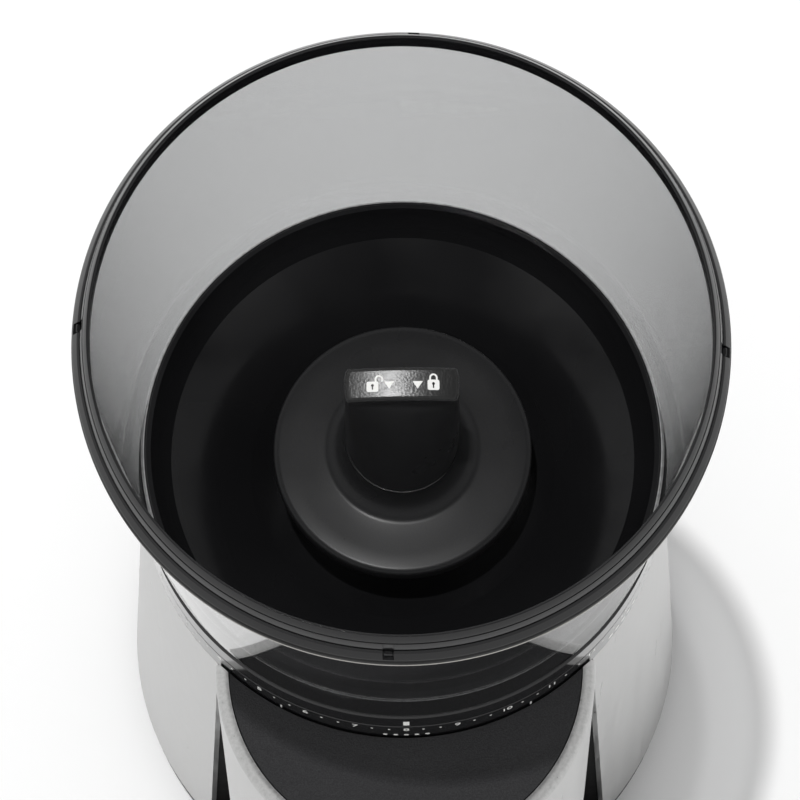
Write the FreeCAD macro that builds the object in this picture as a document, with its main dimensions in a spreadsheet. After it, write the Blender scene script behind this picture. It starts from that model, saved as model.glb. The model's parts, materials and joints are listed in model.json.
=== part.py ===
import FreeCAD, Part
import math
import os
import re
import Sketcher

# Burr coffee grinder: a tinted bean hopper that turns to set the grind, a conical burr set under it,
# a geared motor behind, and a grounds cup that slides out of a bay in front. Millimetres, +Z up.
# Every sub-part is drawn about the burr axis (front is -Y, the table is z = 0). Its Placement then
# moves it back by axis_y, so that the origin lies under the middle of the footprint.

DIMENSIONS = {
    "axis_y": 10.0,
    # hopper
    "rim_radius": 81.5, "rim_inner": 76.7, "rim_top": 404.0, "rim_shoulder": 394.6, "rim_low": 391.0,
    "rim_cap": 6.5, "wall_top_radius": 79.1, "wall_low_radius": 69.1, "wall_thick": 2.4,
    "ring_radius": 69.3, "ring_top": 289.4, "ring_low": 280.3, "tongue_radius": 66.2,
    "bowl_radius": 67.3, "bowl_top": 303.0, "throat_radius": 22.3, "throat_floor": 264.0,
    "window_inner": 7.0, "window_outer": 20.0, "window_half": 30.0,
    "clip_width": 5.0, "clip_turn": 3.0,
    # hopper lock
    "knob_radius": 33.7, "knob_top": 301.4, "knob_skirt": 5.9, "handle_top": 361.0, "handle_radius": 14.9,
    "fin_half": 4.2, "fin_foot": 13.0, "spindle_radius": 4.0, "gate_radius": 21.8, "gate_low": 261.2,
    # collar and adjustment
    "collar_radius": 69.2, "collar_low": 268.6, "collar_top": 279.8, "collar_bore": 61.2,
    "adjust_bore": 37.2, "adjust_low": 262.5, "dog_half": 7.0, "carrier_radius": 33.4,
    # steel wrap
    "wrap_top": 268.3, "wrap_low": 10.0, "wrap_top_radius": 69.2, "wrap_low_radius": 81.6,
    "wrap_shift": 26.0, "wrap_thick": 1.0, "front_top": -48.5, "front_low": -30.0,
    # head
    "head_radius": 50.0, "head_y": -51.2, "head_low": 155.0, "head_skin": 1.2, "head_round": 4.0,
    "cover_radius": 46.3, "cover_thick": 2.5, "cover_z": 269.5, "cover_slope": 8.0, "collar_gap": 0.4,
    "dial_y": -103.0, "dial_z": 212.0, "dial_radius": 22.5, "pod_radius": 24.0, "boss_radius": 13.2,
    "button_radius": 10.5, "button_stem": 3.0,
    # cup, bay and base
    "cup_y": -59.0, "cup_radius": 44.0, "cup_low": 18.5, "cup_top": 128.0, "cup_wall": 1.4,
    "bay_radius": 52.0, "bay_y": -60.0, "liner_thick": 2.5,
    "base_low": 4.0, "base_radius": 81.2, "tray_radius": 79.4, "tray_top": 16.0, "tray_floor": 2.5,
    "plate_radius": 66.4, "plate_low": 14.1, "plate_top": 18.2, "trim_radius": 68.6,
    "foot_radius": 8.0,
    # drive
    "shaft_radius": 4.0, "shaft_low": 167.0, "shaft_top": 257.5, "gear_distance": 34.0, "motor_y": 47.0,
    "motor_radius": 30.0, "motor_low": 84.0, "motor_top": 164.5, "rotor_radius": 20.0,
    "case_low": 166.0, "case_split": 192.0, "case_top": 204.8, "case_wall": 2.5,
    "shelf_low": 205.0, "shelf_thick": 2.8, "chamber_low": 208.0, "chamber_bore": 35.0,
    "fine_module": 0.8, "coarse_module": 1.0, "backlash": 0.25,
    "post_radius": 4.0,
}
SMALL_PINION_TEETH = 17
FIRST_WHEEL_TEETH = 68
OUTPUT_WHEEL_TEETH = 51
PRESSURE_ANGLE = math.radians(20)
BACK = FreeCAD.Rotation(FreeCAD.Vector(1, 0, 0), -90)
FORWARD = FreeCAD.Rotation(FreeCAD.Vector(1, 0, 0), 90)
GEARBOX_SCREWS = ((-20, 2), (10, -20), (43, 31), (22, 45))
BASE_SCREWS = ((-70, 26), (70, 26), (0, 90), (0, -112))
FUNCTIONS = ("sqrt", "cos", "sin", "tan", "abs")

doc = FreeCAD.newDocument("BurrGrinder")
sheet = doc.addObject("Spreadsheet::Sheet", "Dims")
for row, (alias, number) in enumerate(DIMENSIONS.items(), 1):
    sheet.set(f"A{row}", alias)
    sheet.set(f"B{row}", str(number))
    sheet.setAlias(f"B{row}", alias)
doc.recompute()


# ---------------------------------------------------------------- drawing helpers

def bound(text):
    """An expression in which every dimension name points at its cell."""
    def cell(found):
        name = found.group()
        return name if name in FUNCTIONS else "Dims." + name
    return re.sub(r"[a-z][a-z_]+", cell, str(text))


def size(text):
    """The present value of an expression of dimension names."""
    return float(sheet.evalExpression(bound(text)))


def place(piece, x="0", y="0", z="0", turn=None):
    """Put a finished sub-part in the grinder, with the burr axis at axis_y."""
    if turn is not None:
        piece.Placement = FreeCAD.Placement(FreeCAD.Vector(), turn)
    piece.setExpression("Placement.Base.x", bound(x))
    piece.setExpression("Placement.Base.y", bound(f"axis_y + ({y})"))
    piece.setExpression("Placement.Base.z", bound(z))
    return piece


def new_body(label, x="0", y="0", z="0", turn=None):
    body = doc.addObject("PartDesign::Body", label)
    return place(body, x, y, z, turn)


def origin_part(body, role):
    return next(item for item in body.Origin.OriginFeatures if item.Role == role)


def new_sketch(body, plane="XZ_Plane", height="0"):
    sketch = body.newObject("Sketcher::SketchObject", body.Label + "_sketch")
    sketch.AttachmentSupport = (origin_part(body, plane), [""])
    sketch.MapMode = "FlatFace"
    sketch.setExpression("AttachmentOffset.Base.z", bound(height))
    return sketch


def fix_point(sketch, geometry, position, x, y):
    """Tie one point of the sketch to expressions for its two coordinates."""
    for kind, axis, text in (("DistanceX", -2, x), ("DistanceY", -1, y)):
        number = size(text)
        if str(text) == "0":
            sketch.addConstraint(Sketcher.Constraint("PointOnObject", geometry, position, axis))
            continue
        index = sketch.addConstraint(Sketcher.Constraint(kind, -1, 1, geometry, position, number))
        sketch.setExpression(f"Constraints[{index}]", bound(text))


def arc_between(start, end, radius, side):
    """The short arc from start to end, with its centre to the left (side 1) or the right (side -1)."""
    chord = end - start
    left = FreeCAD.Vector(-chord.y, chord.x, 0).normalize()
    rise = math.sqrt(radius ** 2 - (chord.Length / 2) ** 2)
    centre = (start + end) * 0.5 + left * (rise * side)
    first, last = (start, end) if side > 0 else (end, start)
    angles = [math.atan2(point.y - centre.y, point.x - centre.x) for point in (first, last)]
    circle = Part.Circle(centre, FreeCAD.Vector(0, 0, 1), radius)
    return Part.ArcOfCircle(circle, angles[0], angles[1])


def outline(sketch, corners):
    """A closed outline. A corner is (x, y), or (x, y, radius, side) where an arc leads to the next one."""
    points = [FreeCAD.Vector(size(corner[0]), size(corner[1]), 0) for corner in corners]
    ends = []
    for number, corner in enumerate(corners):
        start, end = points[number], points[(number + 1) % len(points)]
        if len(corner) == 4:
            index = sketch.addGeometry(arc_between(start, end, size(corner[2]), corner[3]))
            constraint = sketch.addConstraint(Sketcher.Constraint("Radius", index, size(corner[2])))
            sketch.setExpression(f"Constraints[{constraint}]", bound(corner[2]))
            ends.append((index, 1, 2) if corner[3] > 0 else (index, 2, 1))
        else:
            index = sketch.addGeometry(Part.LineSegment(start, end))
            ends.append((index, 1, 2))
    for number, (index, _, finish) in enumerate(ends):
        following, begin, _ = ends[(number + 1) % len(ends)]
        sketch.addConstraint(Sketcher.Constraint("Coincident", index, finish, following, begin))
    for (index, begin, _), corner in zip(ends, corners):
        fix_point(sketch, index, begin, corner[0], corner[1])
    return sketch


def ring(sketch, radius, x="0", y="0"):
    centre = FreeCAD.Vector(size(x), size(y), 0)
    index = sketch.addGeometry(Part.Circle(centre, FreeCAD.Vector(0, 0, 1), size(radius)))
    constraint = sketch.addConstraint(Sketcher.Constraint("Radius", index, size(radius)))
    sketch.setExpression(f"Constraints[{constraint}]", bound(radius))
    fix_point(sketch, index, 3, x, y)
    return sketch


def rectangle(sketch, left, right, low, high):
    return outline(sketch, [(left, low), (right, low), (right, high), (left, high)])


def sector(sketch, inner, outer, half):
    """A ring sector about the origin, centred on the sketch's X axis; half is its half angle in degrees."""
    return outline(sketch, [
        (f"({inner}) * cos({half})", f"-({inner}) * sin({half})"),
        (f"({outer}) * cos({half})", f"-({outer}) * sin({half})", outer, 1),
        (f"({outer}) * cos({half})", f"({outer}) * sin({half})"),
        (f"({inner}) * cos({half})", f"({inner}) * sin({half})", inner, -1)])


def revolve(body, sketch):
    feature = body.newObject("PartDesign::Revolution", body.Label + "_turned")
    feature.Profile = sketch
    feature.ReferenceAxis = (sketch, ["V_Axis"])
    feature.Angle = 360
    return feature


def pad(body, sketch, length):
    feature = body.newObject("PartDesign::Pad", body.Label + "_pad")
    feature.Profile = sketch
    feature.setExpression("Length", bound(length))
    return feature


def pocket(body, sketch, length="0", up=False, both=False):
    """Cut along the sketch's normal (up) or against it; a length of 0 goes right through."""
    feature = body.newObject("PartDesign::Pocket", body.Label + "_pocket")
    feature.Profile = sketch
    if length == "0":
        feature.Type = "ThroughAll"
    else:
        feature.setExpression("Length", bound(length))
    feature.Reversed = up
    if both:
        feature.SideType = "Symmetric"
    return feature


def repeat_round(body, feature, count):
    pattern = body.newObject("PartDesign::PolarPattern", body.Label + "_pattern")
    pattern.Originals = [feature]
    pattern.Axis = (origin_part(body, "Z_Axis"), [""])
    pattern.Angle = 360
    pattern.Occurrences = count
    body.Tip = pattern
    return pattern


def turned(label, corners, x="0", y="0", z="0", turn=None):
    """A body of revolution about its own Z axis, from a half profile of (radius, height) corners."""
    body = new_body(label, x, y, z, turn)
    revolve(body, outline(new_sketch(body), corners))
    return body


def formed(label, shape, x="0", y="0", z="0", turn=None):
    """A sub-part whose shape is worked out below from the sheet's sizes."""
    feature = doc.addObject("Part::Feature", label)
    feature.Shape = shape
    return place(feature, x, y, z, turn)


def bar(radius, low, high, x=0.0, y=0.0):
    return Part.makeCylinder(radius, high - low, FreeCAD.Vector(x, y, low))


def block(left, right, front, rear, low, high):
    return Part.makeBox(right - left, rear - front, high - low, FreeCAD.Vector(left, front, low))


def side_prism(points, half_width):
    """An upright outline of (y, z) points, as wide as half_width to either side."""
    corners = [FreeCAD.Vector(-half_width, y, z) for y, z in points]
    face = Part.Face(Part.makePolygon(corners + corners[:1]))
    return face.extrude(FreeCAD.Vector(2 * half_width, 0, 0))


def screws(label, spots, shank, length, head, head_high, down=True):
    """A set of equal pan-head screws; each spot is where the head meets its seat."""
    solids = []
    for x, y, z in spots:
        way = -1 if down else 1
        body = Part.makeCylinder(shank, length, FreeCAD.Vector(x, y, z), FreeCAD.Vector(0, 0, way))
        cap = Part.makeCylinder(head, head_high, FreeCAD.Vector(x, y, z), FreeCAD.Vector(0, 0, -way))
        slot_z = z - way * head_high
        slot = block(x - head, x + head, y - 0.4, y + 0.4, slot_z - 0.6, slot_z + 0.6)
        solids.append(body.fuse(cap).cut(slot))
    return formed(label, Part.makeCompound(solids))


# ---------------------------------------------------------------- hopper

def hopper():
    clip_turn = FreeCAD.Rotation(FreeCAD.Vector(0, 0, 1), -size("clip_turn"))
    rim = turned("hopper_rim", [
        ("wall_top_radius + 0.2", "rim_low"), ("rim_radius", "rim_low"),
        ("rim_radius", "rim_shoulder"), ("rim_inner + 1.1", "rim_top"),
        ("rim_inner + 0.4", "rim_top"), ("rim_inner", "rim_top - 0.5"),
        ("rim_inner", "rim_top - rim_cap"), ("wall_top_radius + 0.2", "rim_top - rim_cap")],
        turn=clip_turn)
    seat = rectangle(new_sketch(rim, "XY_Plane", "rim_low - 1"),
                     "wall_top_radius - 2", "rim_radius + 2",
                     "-clip_width / 2 - 0.2", "clip_width / 2 + 0.2")
    repeat_round(rim, pocket(rim, seat, "rim_shoulder - rim_low + 0.5", up=True), 4)

    clip = block(size("wall_top_radius + 0.2"), size("rim_radius"), -size("clip_width / 2"),
                 size("clip_width / 2"), size("rim_low + 0.2"), size("rim_shoulder - 0.7"))
    clips = []
    for quarter in range(4):
        copy = clip.copy()
        copy.rotate(FreeCAD.Vector(), FreeCAD.Vector(0, 0, 1), 90 * quarter)
        clips.append(copy)
    formed("rim_clips", Part.makeCompound(clips), turn=clip_turn)

    turned("hopper_wall", [
        ("wall_low_radius", "ring_top"), ("wall_top_radius", "rim_top - rim_cap"),
        ("wall_top_radius - wall_thick", "rim_top - rim_cap"), ("wall_low_radius - wall_thick", "ring_top")])

    base = turned("hopper_base_ring", [
        ("collar_bore - 1.2", "ring_low"), ("ring_radius - 0.5", "ring_low"),
        ("ring_radius", "ring_low + 0.5"), ("ring_radius", "ring_top - 0.5"),
        ("ring_radius - 0.5", "ring_top"),
        ("tongue_radius", "ring_top"), ("tongue_radius", "ring_top + 3.4"),
        ("tongue_radius - 2.2", "ring_top + 3.4"), ("tongue_radius - 2.2", "ring_low + 3.7"),
        ("collar_bore - 1.2", "ring_low + 3.7")])
    dog = sector(new_sketch(base, "XY_Plane", "268"), "56.3", "collar_bore - 0.7", "dog_half")
    repeat_round(base, pad(base, dog, "ring_low + 3.7 - 268"), 3)

    bowl = turned("hopper_bowl", [
        ("spindle_radius + 0.4", "throat_floor"), ("throat_radius", "throat_floor"),
        ("throat_radius", "throat_floor - 3"), ("throat_radius + 2.3", "throat_floor - 3"),
        ("throat_radius + 2.3", "throat_floor + 3.3"), ("40.8", "278.4"), ("63.0", "292.0"),
        ("bowl_radius - 1.9", "297.6"), ("bowl_radius", "bowl_top - 2.2"), ("bowl_radius", "bowl_top - 0.5"),
        ("bowl_radius - 0.5", "bowl_top"), ("bowl_radius - 1.7", "bowl_top", "26", -1), ("60.6", "293.2"),
        ("40", "281"), ("throat_radius + 0.3", "268.6"), ("throat_radius + 0.3", "throat_floor + 2"),
        ("spindle_radius + 0.4", "throat_floor + 2")])
    window = sector(new_sketch(bowl, "XY_Plane", "throat_floor - 1"),
                    "window_inner", "window_outer", "window_half")
    repeat_round(bowl, pocket(bowl, window, "4", up=True), 3)

    turned("bowl_seal", [
        ("bowl_radius + 0.05", "bowl_top - 2"), ("bowl_radius + 0.4", "bowl_top - 2"),
        ("bowl_radius + 0.4", "bowl_top - 0.3"), ("bowl_radius + 0.05", "bowl_top - 0.3")])


def hopper_lock():
    knob = turned("lock_knob", [
        ("spindle_radius", "knob_top - 12"), ("10", "knob_top - 12"), ("10", "knob_top - knob_skirt"),
        ("knob_radius - 0.6", "knob_top - knob_skirt"), ("knob_radius", "knob_top - knob_skirt + 0.6"),
        ("knob_radius", "knob_top - 1.0"), ("knob_radius - 0.6", "knob_top - 0.4"),
        ("20.7", "knob_top + 0.9", "34", -1), ("handle_radius - 0.8", "knob_top + 26"),
        ("handle_radius", "handle_top - 1.2", "1.2", 1), ("handle_radius - 1.2", "handle_top"),
        ("0", "handle_top"), ("0", "knob_top - 2"), ("spindle_radius", "knob_top - 2")])
    for side, hollow in (("", 1), ("-", -1)):
        flank = outline(new_sketch(knob, "YZ_Plane"), [
            (f"{side}(fin_half)", "handle_top + 1"), (f"{side}(fin_half)", "handle_top - 4", "110", hollow),
            (f"{side}(fin_foot)", "knob_top + 5"), (f"{side}(fin_foot + 30)", "knob_top + 20"),
            (f"{side}(fin_foot + 30)", "handle_top + 1")])
        pocket(knob, flank, both=True)

    turned("knob_spindle", [
        ("0", "gate_low - 2"), ("spindle_radius - 0.6", "gate_low - 2"),
        ("spindle_radius - 0.6", "gate_low - 1.2"),
        ("spindle_radius - 1.2", "gate_low - 1.2"), ("spindle_radius - 1.2", "gate_low - 0.2"),
        ("spindle_radius", "gate_low - 0.2"), ("spindle_radius", "knob_top - 2"),
        ("0", "knob_top - 2")])
    turned("spindle_clip", [
        ("spindle_radius - 1.1", "gate_low - 1.1"), ("spindle_radius + 2", "gate_low - 1.1"),
        ("spindle_radius + 2", "gate_low - 0.3"), ("spindle_radius - 1.1", "gate_low - 0.3")])
    gate = turned("gate_disc", [
        ("spindle_radius", "gate_low"), ("gate_radius", "gate_low"),
        ("gate_radius", "gate_low + 2.3"), ("spindle_radius", "gate_low + 2.3")])
    window = sector(new_sketch(gate, "XY_Plane", "gate_low - 1"),
                    "window_inner", "window_outer", "window_half")
    repeat_round(gate, pocket(gate, window, "5", up=True), 3)


# ---------------------------------------------------------------- grind adjustment and burrs

def adjustment():
    turned("scale_collar", [
        ("50", "258.5"), ("65.5", "258.5"), ("65.5", "collar_low"), ("collar_radius", "collar_low"),
        ("collar_radius", "collar_top - 0.4"), ("collar_radius - 0.4", "collar_top"),
        ("collar_bore", "collar_top"), ("collar_bore", "adjust_low - 0.3"), ("50", "adjust_low - 0.3")])
    adjust = turned("adjust_ring", [
        ("adjust_bore", "adjust_low"), ("59", "adjust_low"), ("59", "276"), ("56", "276"),
        ("56", "adjust_low + 4"), ("adjust_bore", "adjust_low + 4")])
    slot = sector(new_sketch(adjust, "XY_Plane", "267.5"), "54", "62", "dog_half + 0.5")
    repeat_round(adjust, pocket(adjust, slot, "12", up=True), 3)

    turned("burr_carrier", [
        ("27.2", "226"), ("carrier_radius", "226"), ("carrier_radius", "259.3"),
        ("adjust_bore - 0.4", "259.3"), ("adjust_bore - 0.4", "266"), ("25.6", "266"),
        ("25.6", "260"), ("20.5", "252.6"), ("20.5", "250.2"), ("27.2", "250.2")])
    turned("carrier_gasket", [
        ("carrier_radius + 0.05", "252"), ("carrier_radius + 1.1", "253"), ("carrier_radius + 1.1", "254.5"),
        ("carrier_radius + 0.05", "255.5")])
    outer = turned("ring_burr", [
        ("20.8", "228"), ("27.1", "228"), ("27.1", "250"), ("23.8", "250"), ("22.4", "244")])
    tooth = outline(new_sketch(outer, "XY_Plane", "227"), [
        ("20", "-0.7"), ("21.8", "-0.1"), ("21.8", "0.1"), ("20", "0.7")])
    repeat_round(outer, pocket(outer, tooth, "9", up=True), 36)

    inner = turned("cone_burr", [
        ("shaft_radius", "226"), ("15", "226"), ("19.8", "228"), ("19.0", "233"), ("9.5", "252"),
        ("shaft_radius", "252")])
    flute = outline(new_sketch(inner, "XY_Plane", "236"), [
        ("9", "-1.2"), ("24", "-4.6"), ("24", "3.2"), ("9", "1.8")])
    repeat_round(inner, pocket(inner, flute, "20", up=True), 6)
    notch = outline(new_sketch(inner, "XY_Plane", "225"), [
        ("18.4", "-0.2"), ("21", "-0.9"), ("21", "0.9"), ("18.4", "0.2")])
    repeat_round(inner, pocket(inner, notch, "10", up=True), 30)


def grinding_space():
    chamber = turned("grinding_chamber", [
        ("shaft_radius + 0.6", "chamber_low"), ("38", "chamber_low"), ("38", "254.6"), ("60", "254.6"),
        ("60", "258.2"), ("chamber_bore", "258.2"), ("chamber_bore", "chamber_low + 3"),
        ("shaft_radius + 0.6", "chamber_low + 3")])
    outlet = rectangle(new_sketch(chamber), "-13", "13", "chamber_low + 3", "chamber_low + 16")
    pocket(chamber, outlet, up=True)

    sweeper = turned("sweeper_impeller", [
        ("shaft_radius", "chamber_low + 4"), ("11", "chamber_low + 4"), ("11", "222"), ("17", "223"),
        ("17", "225.4"), ("shaft_radius", "225.4")])
    paddle = rectangle(new_sketch(sweeper, "XY_Plane", "chamber_low + 4"), "9", "33.6", "-1.3", "1.3")
    repeat_round(sweeper, pad(sweeper, paddle, "9"), 4)

    low, top = size("head_low - 3"), size("chamber_low")
    outer = side_prism([(-38.6, top + 20), (-66, top + 20), (-74, top + 12), (-74, low), (-49, low),
                        (-49, top - 12), (-38.6, top + 1)], 15)
    inner = side_prism([(-38, top + 18), (-65.2, top + 18), (-72, top + 11.2), (-72, low - 1),
                        (-51, low - 1), (-51, top - 11.2), (-40.4, top + 3), (-38, top + 3)], 13)
    formed("grounds_chute", outer.cut(inner))


# ---------------------------------------------------------------- gears, shaft and motor

def involute(angle):
    return math.tan(angle) - angle


def gear(teeth, module, width, bore, phase):
    """A spur gear from z = 0 upwards, with a tooth centred at the phase angle (radians)."""
    pitch = teeth * module / 2
    base, outer, root = pitch * math.cos(PRESSURE_ANGLE), pitch + module, pitch - 1.25 * module
    half = math.pi / (2 * teeth) - size("backlash") / (2 * pitch) + involute(PRESSURE_ANGLE)
    foot = max(base, root) + 0.01
    flank = []
    for step in range(5):
        radius = foot + (outer - foot) * step / 4
        flank.append((radius, half - involute(math.acos(base / radius))))

    def at(radius, angle):
        return FreeCAD.Vector(radius * math.cos(angle), radius * math.sin(angle), 0)

    edges = []
    for tooth in range(teeth):
        middle = phase + tooth * 2 * math.pi / teeth
        following = middle + 2 * math.pi / teeth
        rising = [at(radius, middle - angle) for radius, angle in flank]
        falling = [at(radius, middle + angle) for radius, angle in reversed(flank)]
        edge_angle = flank[0][1]
        root_start = at(root, middle + edge_angle)
        root_end = at(root, following - edge_angle)
        for side in (rising, falling):
            curve = Part.BSplineCurve()
            curve.interpolate(side)
            edges.append(curve.toShape())
        edges.append(Part.Arc(rising[-1], at(outer, middle), falling[0]).toShape())
        edges.append(Part.LineSegment(falling[-1], root_start).toShape())
        edges.append(Part.Arc(root_start, at(root, (middle + following) / 2), root_end).toShape())
        edges.append(Part.LineSegment(root_end, at(foot, following - edge_angle)).toShape())
    wire = Part.Wire(Part.__sortEdges__(edges))
    solid = Part.Face(wire).extrude(FreeCAD.Vector(0, 0, width))
    return solid.cut(bar(bore, -1, width + 1))


def drive():
    distance, motor_y, shaft = size("gear_distance"), size("motor_y"), size("shaft_radius")
    half_way = motor_y / 2
    offset = math.sqrt(distance ** 2 - half_way ** 2)
    coarse, fine = size("coarse_module"), size("fine_module")
    to_layshaft = math.atan2(half_way, offset)
    to_motor = math.atan2(half_way, -offset)

    turned("burr_shaft", [
        ("0", "shaft_low"), ("shaft_radius - 0.4", "shaft_low"), ("shaft_radius", "shaft_low + 0.4"),
        ("shaft_radius", "shaft_top - 0.5"), ("shaft_radius - 0.5", "shaft_top"), ("0", "shaft_top")])
    nut = doc.addObject("Part::Prism", "nut_blank")
    nut.Polygon = 6
    nut.setExpression("Circumradius", bound("shaft_radius + 3.4"))
    nut.setExpression("Height", "4")
    nut.setExpression("Placement.Base.z", "252.2")
    hole = doc.addObject("Part::Cylinder", "nut_hole")
    hole.setExpression("Radius", bound("shaft_radius"))
    hole.setExpression("Height", "8")
    hole.setExpression("Placement.Base.z", "250")
    burr_nut = doc.addObject("Part::Cut", "burr_nut")
    burr_nut.Base = nut
    burr_nut.Tool = hole
    place(burr_nut)

    half_tooth = math.pi / SMALL_PINION_TEETH
    wheel = gear(OUTPUT_WHEEL_TEETH, coarse, 8, shaft, to_layshaft)
    formed("output_gear", wheel, z="178")
    small = gear(SMALL_PINION_TEETH, coarse, 12, 3.05, to_layshaft + math.pi + half_tooth)
    large = gear(FIRST_WHEEL_TEETH, fine, 6, 3.05, to_motor)
    large.translate(FreeCAD.Vector(0, 0, 12))
    formed("reduction_gear", small.fuse(large), x=offset, y=half_way, z="177")
    turned("reduction_axle", [
        ("0", "case_low"), ("3", "case_low"), ("3", "case_top - 2.6"), ("0", "case_top - 2.6")],
        x=offset, y=half_way)
    pinion = gear(SMALL_PINION_TEETH, fine, 9, 2.5, to_motor + math.pi + half_tooth)
    formed("motor_pinion", pinion, y="motor_y", z="188")

    bearings = []
    for low in (168.6, 197.6):
        race = bar(11, low, low + 7).cut(bar(shaft + 0.05, low - 1, low + 8))
        groove = bar(8.7, 0, 0.8).cut(bar(6.3, -1, 2))
        for height in (low, low + 6.2):
            shield = groove.copy()
            shield.translate(FreeCAD.Vector(0, 0, height))
            race = race.cut(shield)
        bearings.append(race)
    formed("shaft_bearings", Part.makeCompound(bearings))

    lobes = [(0, 0, 28.2), (offset, half_way, 29.6), (0, motor_y, 14)]
    wall, low, split, top = size("case_wall"), size("case_low"), size("case_split"), size("case_top")

    def lobed(extra, bottom, roof):
        return Part.makeCompound([]).multiFuse([bar(r + extra, bottom, roof, x, y) for x, y, r in lobes])

    case = lobed(wall, low, split).cut(lobed(0, low + wall, split + 1))
    case = case.fuse(bar(13.5, low + wall, 175.6)).cut(bar(11.02, low + wall, 180))
    holes = [bar(shaft + 0.6, low - 1, low + 5), bar(3, low - 1, low + 5, offset, half_way),
             bar(9.2, low - 1, low + 5, 0, motor_y)]
    formed("gearbox_case", case.cut(holes))
    lid = lobed(wall, split + 0.2, top).cut(lobed(0, split, top - wall))
    lid = lid.fuse(bar(13.5, 197.6, top)).cut(bar(11.02, 190, top + 1))
    lid = lid.fuse([bar(3.6, 196.5, top, x, y) for x, y in GEARBOX_SCREWS])
    formed("gearbox_lid", lid.cut([bar(1.55, 190, top + 1, x, y) for x, y in GEARBOX_SCREWS]))
    seat = size("shelf_low") + 1.2
    screws("gearbox_screws", [(x, y, seat) for x, y in GEARBOX_SCREWS], 1.5, 9, 2.8, 1.6)

    turned("motor_can", [
        ("6", "motor_low"), ("motor_radius - 1", "motor_low"), ("motor_radius", "motor_low + 1"),
        ("motor_radius", "motor_top - 1"), ("motor_radius - 1", "motor_top"), ("9", "motor_top"),
        ("9", "motor_top + 1.5"), ("6", "motor_top + 1.5"), ("6", "motor_top - 2"),
        ("motor_radius - 2", "motor_top - 2"), ("motor_radius - 2", "motor_low + 2"),
        ("6", "motor_low + 2")], y="motor_y")
    turned("motor_damper", [
        ("motor_radius", "motor_low + 6"), ("motor_radius + 2.5", "motor_low + 6"),
        ("motor_radius + 2.5", "motor_low + 16"), ("motor_radius", "motor_low + 16")], y="motor_y")
    rotor = turned("motor_rotor", [
        ("0", "motor_low + 1"), ("2.5", "motor_low + 1"), ("2.5", "motor_low + 8"), ("9", "motor_low + 8"),
        ("9", "motor_low + 13"), ("2.5", "motor_low + 13"), ("2.5", "motor_low + 16"),
        ("rotor_radius", "motor_low + 16"), ("rotor_radius", "motor_low + 62"), ("2.5", "motor_low + 62"),
        ("2.5", "197.5"), ("0", "197.5")], y="motor_y")
    slot = rectangle(new_sketch(rotor, "XY_Plane", "motor_low + 15"),
                     "10", "rotor_radius + 2", "-1.5", "1.5")
    repeat_round(rotor, pocket(rotor, slot, "50", up=True), 7)
    bushes = []
    for bush_low in (size("motor_low"), size("motor_top - 4.5")):
        bush = bar(6, bush_low, bush_low + 6, 0, 0).cut(bar(2.55, bush_low - 1, bush_low + 7, 0, 0))
        bushes.append(bush)
    formed("motor_bushes", Part.makeCompound(bushes), y="motor_y")
    magnets = []
    for turn in (20, 200):
        low_z = size("motor_low + 14")
        magnet = Part.makeCylinder(27.8, 52, FreeCAD.Vector(0, 0, low_z), FreeCAD.Vector(0, 0, 1), 140)
        magnet = magnet.cut(bar(21.5, low_z - 1, low_z + 53))
        magnet.rotate(FreeCAD.Vector(), FreeCAD.Vector(0, 0, 1), turn)
        magnets.append(magnet)
    formed("motor_magnets", Part.makeCompound(magnets), y="motor_y")


# ---------------------------------------------------------------- body shells

def lean_at(height):
    """The y of the wrap's front edges at a height: they run back towards the base."""
    share = (size("wrap_top") - height) / size("wrap_top - wrap_low")
    return size("front_top") + share * size("front_low - front_top")


def wrap_space(gap, low, high):
    """The space inside the tapering wrap, a gap in from its outer face, between two heights."""
    wires = []
    for height in (low, high):
        share = (size("wrap_top") - height) / size("wrap_top - wrap_low")
        radius = size("wrap_top_radius") + share * size("wrap_low_radius - wrap_top_radius") - gap
        centre = FreeCAD.Vector(0, share * size("wrap_shift"), height)
        wires.append(Part.Wire(Part.makeCircle(radius, centre)))
    return Part.makeLoft(wires, True, True)


def behind_front(offset, low, high):
    """Everything behind the leaning front plane, moved back by an offset."""
    points = [(lean_at(low) + offset, low), (140, low), (140, high), (lean_at(high) + offset, high)]
    return side_prism(points, 100)


def under_cover(drop, low):
    """Everything under the sloping head cover's top face, less a drop, down to a height."""
    slope = math.tan(math.radians(size("cover_slope")))
    front, rear, pivot = -140.0, 0.0, -size("collar_radius")
    heights = [size("cover_z") - drop + (y - pivot) * slope for y in (front, rear)]
    return side_prism([(front, low), (rear, low), (rear, heights[1]), (front, heights[0])], 100)


def steel_wrap():
    body = new_body("steel_wrap")
    for kind, thinner in (("AdditiveLoft", "0"), ("SubtractiveLoft", "wrap_thick")):
        foot = ring(new_sketch(body, "XY_Plane", "wrap_low"),
                    f"wrap_low_radius - {thinner}", "0", "wrap_shift")
        head = ring(new_sketch(body, "XY_Plane", "wrap_top"), f"wrap_top_radius - {thinner}")
        loft = body.newObject(f"PartDesign::{kind}", "wrap_" + kind.lower())
        loft.Profile = foot
        loft.Sections = [head]
        loft.Ruled = True
    opening = outline(new_sketch(body, "YZ_Plane"), [
        ("front_top", "wrap_top"), ("-130", "wrap_top"), ("-130", "wrap_low"), ("front_low", "wrap_low")])
    pocket(body, opening, both=True)
    for height in range(48, 73, 6):
        slot = outline(new_sketch(body), [
            ("-20", height, "1.7", 1), ("-20", height - 3), ("20", height - 3, "1.7", 1), ("20", height)])
        pocket(body, slot)
    pocket(body, ring(new_sketch(body), "5.4", "0", "30"))


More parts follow.
